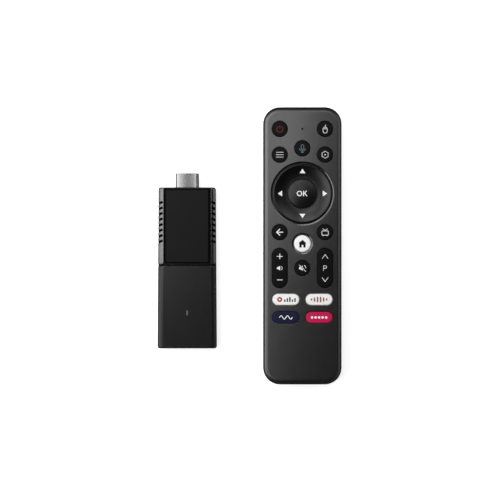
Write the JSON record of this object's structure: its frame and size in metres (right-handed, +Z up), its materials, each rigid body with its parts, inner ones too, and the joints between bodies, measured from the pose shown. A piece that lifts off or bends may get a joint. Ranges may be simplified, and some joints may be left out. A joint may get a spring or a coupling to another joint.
{
  "type": "streaming media player",
  "caption": "Plug-in streaming stick with a vented face, lying beside its slim voice remote with round keys, a direction ring, two rockers and shortcut keys.",
  "frame": {"origin": "middle of the set's footprint, on the surface that both units lie on", "axes": "+X from the stick to the remote, +Y along both units to the plug end and the infrared end, +Z up out of the key faces"},
  "size_m": [0.11, 0.1656, 0.019],
  "materials": {
    "remote_case": "satin",
    "key_black": "satin",
    "ring_black": "satin",
    "key_white": "satin",
    "key_navy": "satin",
    "key_crimson": "satin",
    "mat_rubber": "matt",
    "battery_jacket": "gloss",
    "spring_steel": "bright",
    "contact_steel": "bright",
    "circuit_board": "gloss",
    "chip_black": "matt",
    "microphone_can": "satin",
    "led_epoxy": "clear gloss",
    "infrared_filter": "gloss",
    "screw_steel": "satin",
    "stick_case": "satin",
    "stick_gloss": "gloss",
    "stick_panel": "satin",
    "plug_steel": "satin",
    "insulator_black": "matt",
    "contact_gold": "bright",
    "shield_tin": "satin",
    "thermal_rubber": "matt",
    "spreader_metal": "satin",
    "antenna_ceramic": "glazed",
    "led_package": "gloss",
    "light_guide": "clear gloss"
  },
  "bodies": {
    "remote": {"remote_top_shell": "remote_case", "remote_bottom_shell": "remote_case", "battery_left": "battery_jacket", "battery_right": "battery_jacket", "battery_springs": "spring_steel", "battery_contacts": "contact_steel", "remote_board": "circuit_board", "keypad_mat": "mat_rubber", "remote_chips": "chip_black", "microphone": "microphone_can", "infrared_led": "led_epoxy", "infrared_window": "infrared_filter", "case_screws": "screw_steel"},
    "stick": {"stick_back_shell": "stick_case", "stick_front_shell": "stick_gloss", "stick_face_panel": "stick_panel", "stick_sleeve": "stick_case", "plug_shell": "plug_steel", "plug_insulator": "insulator_black", "plug_contacts": "contact_gold", "stick_board": "circuit_board", "processor": "chip_black", "memory_chips": "chip_black", "shield_can": "shield_tin", "thermal_pad": "thermal_rubber", "heat_spreader": "spreader_metal", "radio_module": "shield_tin", "chip_antennas": "antenna_ceramic", "status_led": "led_package", "light_pipe": "light_guide", "power_port_shell": "plug_steel", "power_port_tongue": "insulator_black", "board_screws": "screw_steel"},
    "battery_cover": {"battery_cover": "remote_case"},
    "ring_carrier": {"ring_carrier": "ring_black"},
    "direction_ring": {"direction_ring": "ring_black"},
    "volume_rocker": {"volume_rocker": "key_black"},
    "channel_rocker": {"channel_rocker": "key_black"},
    "power_key": {"power_key": "key_black"},
    "mouse_key": {"mouse_key": "key_black"},
    "voice_key": {"voice_key": "key_black"},
    "menu_key": {"menu_key": "key_black"},
    "settings_key": {"settings_key": "key_black"},
    "back_key": {"back_key": "key_black"},
    "tv_key": {"tv_key": "key_black"},
    "mute_key": {"mute_key": "key_black"},
    "home_key": {"home_key": "key_white"},
    "ok_key": {"ok_key": "key_black"},
    "shortcut_key_1": {"shortcut_key_1": "key_white"},
    "shortcut_key_2": {"shortcut_key_2": "key_white"},
    "shortcut_key_3": {"shortcut_key_3": "key_navy"},
    "shortcut_key_4": {"shortcut_key_4": "key_crimson"}
  },
  "joints": [
    {"name": "stick_lift", "type": "slide", "parent": "remote", "child": "stick", "axis": [0, 0, 1], "range_m": [0, 0.08]},
    {"name": "battery_cover_slide", "type": "slide", "parent": "remote", "child": "battery_cover", "axis": [0, -1, 0], "range_m": [0, 0.065]},
    {"name": "ring_left_right", "type": "hinge", "parent": "remote", "child": "ring_carrier", "pos_m": [0.0316, 0.0312, 0.0144], "axis": [0, 1, 0], "range_deg": [-1.5, 1.5], "stiffness_Nm_per_rad": 0.4, "deforming": ["keypad_mat"]},
    {"name": "ring_up_down", "type": "hinge", "parent": "ring_carrier", "child": "direction_ring", "pos_m": [0.0316, 0.0312, 0.0152], "axis": [1, 0, 0], "range_deg": [-1.5, 1.5], "stiffness_Nm_per_rad": 0.4, "deforming": ["keypad_mat"]},
    {"name": "volume_rock", "type": "hinge", "parent": "remote", "child": "volume_rocker", "pos_m": [0.0181, -0.0133, 0.0153], "axis": [1, 0, 0], "range_deg": [-2.5, 2.5], "stiffness_Nm_per_rad": 0.17, "deforming": ["keypad_mat"]},
    {"name": "channel_rock", "type": "hinge", "parent": "remote", "child": "channel_rocker", "pos_m": [0.0451, -0.0133, 0.0153], "axis": [1, 0, 0], "range_deg": [-2.5, 2.5], "stiffness_Nm_per_rad": 0.17, "deforming": ["keypad_mat"]},
    {"name": "power_key_press", "type": "slide", "parent": "remote", "child": "power_key", "axis": [0, 0, -1], "range_m": [0, 0.0008], "stiffness_N_per_m": 800, "springref_m": -0.0005, "deforming": ["keypad_mat"]},
    {"name": "mouse_key_press", "type": "slide", "parent": "remote", "child": "mouse_key", "axis": [0, 0, -1], "range_m": [0, 0.0008], "stiffness_N_per_m": 800, "springref_m": -0.0005, "deforming": ["keypad_mat"]},
    {"name": "voice_key_press", "type": "slide", "parent": "remote", "child": "voice_key", "axis": [0, 0, -1], "range_m": [0, 0.0008], "stiffness_N_per_m": 800, "springref_m": -0.0005, "deforming": ["keypad_mat"]},
    {"name": "menu_key_press", "type": "slide", "parent": "remote", "child": "menu_key", "axis": [0, 0, -1], "range_m": [0, 0.0008], "stiffness_N_per_m": 800, "springref_m": -0.0005, "deforming": ["keypad_mat"]},
    {"name": "settings_key_press", "type": "slide", "parent": "remote", "child": "settings_key", "axis": [0, 0, -1], "range_m": [0, 0.0008], "stiffness_N_per_m": 800, "springref_m": -0.0005, "deforming": ["keypad_mat"]},
    {"name": "back_key_press", "type": "slide", "parent": "remote", "child": "back_key", "axis": [0, 0, -1], "range_m": [0, 0.0008], "stiffness_N_per_m": 800, "springref_m": -0.0005, "deforming": ["keypad_mat"]},
    {"name": "tv_key_press", "type": "slide", "parent": "remote", "child": "tv_key", "axis": [0, 0, -1], "range_m": [0, 0.0008], "stiffness_N_per_m": 800, "springref_m": -0.0005, "deforming": ["keypad_mat"]},
    {"name": "mute_key_press", "type": "slide", "parent": "remote", "child": "mute_key", "axis": [0, 0, -1], "range_m": [0, 0.0008], "stiffness_N_per_m": 800, "springref_m": -0.0005, "deforming": ["keypad_mat"]},
    {"name": "home_key_press", "type": "slide", "parent": "remote", "child": "home_key", "axis": [0, 0, -1], "range_m": [0, 0.0008], "stiffness_N_per_m": 800, "springref_m": -0.0005, "deforming": ["keypad_mat"]},
    {"name": "ok_key_press", "type": "slide", "parent": "remote", "child": "ok_key", "axis": [0, 0, -1], "range_m": [0, 0.0008], "stiffness_N_per_m": 800, "springref_m": -0.0005, "deforming": ["keypad_mat"]},
    {"name": "shortcut_key_1_press", "type": "slide", "parent": "remote", "child": "shortcut_key_1", "axis": [0, 0, -1], "range_m": [0, 0.0008], "stiffness_N_per_m": 800, "springref_m": -0.0005, "deforming": ["keypad_mat"]},
    {"name": "shortcut_key_2_press", "type": "slide", "parent": "remote", "child": "shortcut_key_2", "axis": [0, 0, -1], "range_m": [0, 0.0008], "stiffness_N_per_m": 800, "springref_m": -0.0005, "deforming": ["keypad_mat"]},
    {"name": "shortcut_key_3_press", "type": "slide", "parent": "remote", "child": "shortcut_key_3", "axis": [0, 0, -1], "range_m": [0, 0.0008], "stiffness_N_per_m": 800, "springref_m": -0.0005, "deforming": ["keypad_mat"]},
    {"name": "shortcut_key_4_press", "type": "slide", "parent": "remote", "child": "shortcut_key_4", "axis": [0, 0, -1], "range_m": [0, 0.0008], "stiffness_N_per_m": 800, "springref_m": -0.0005, "deforming": ["keypad_mat"]}
  ]
}
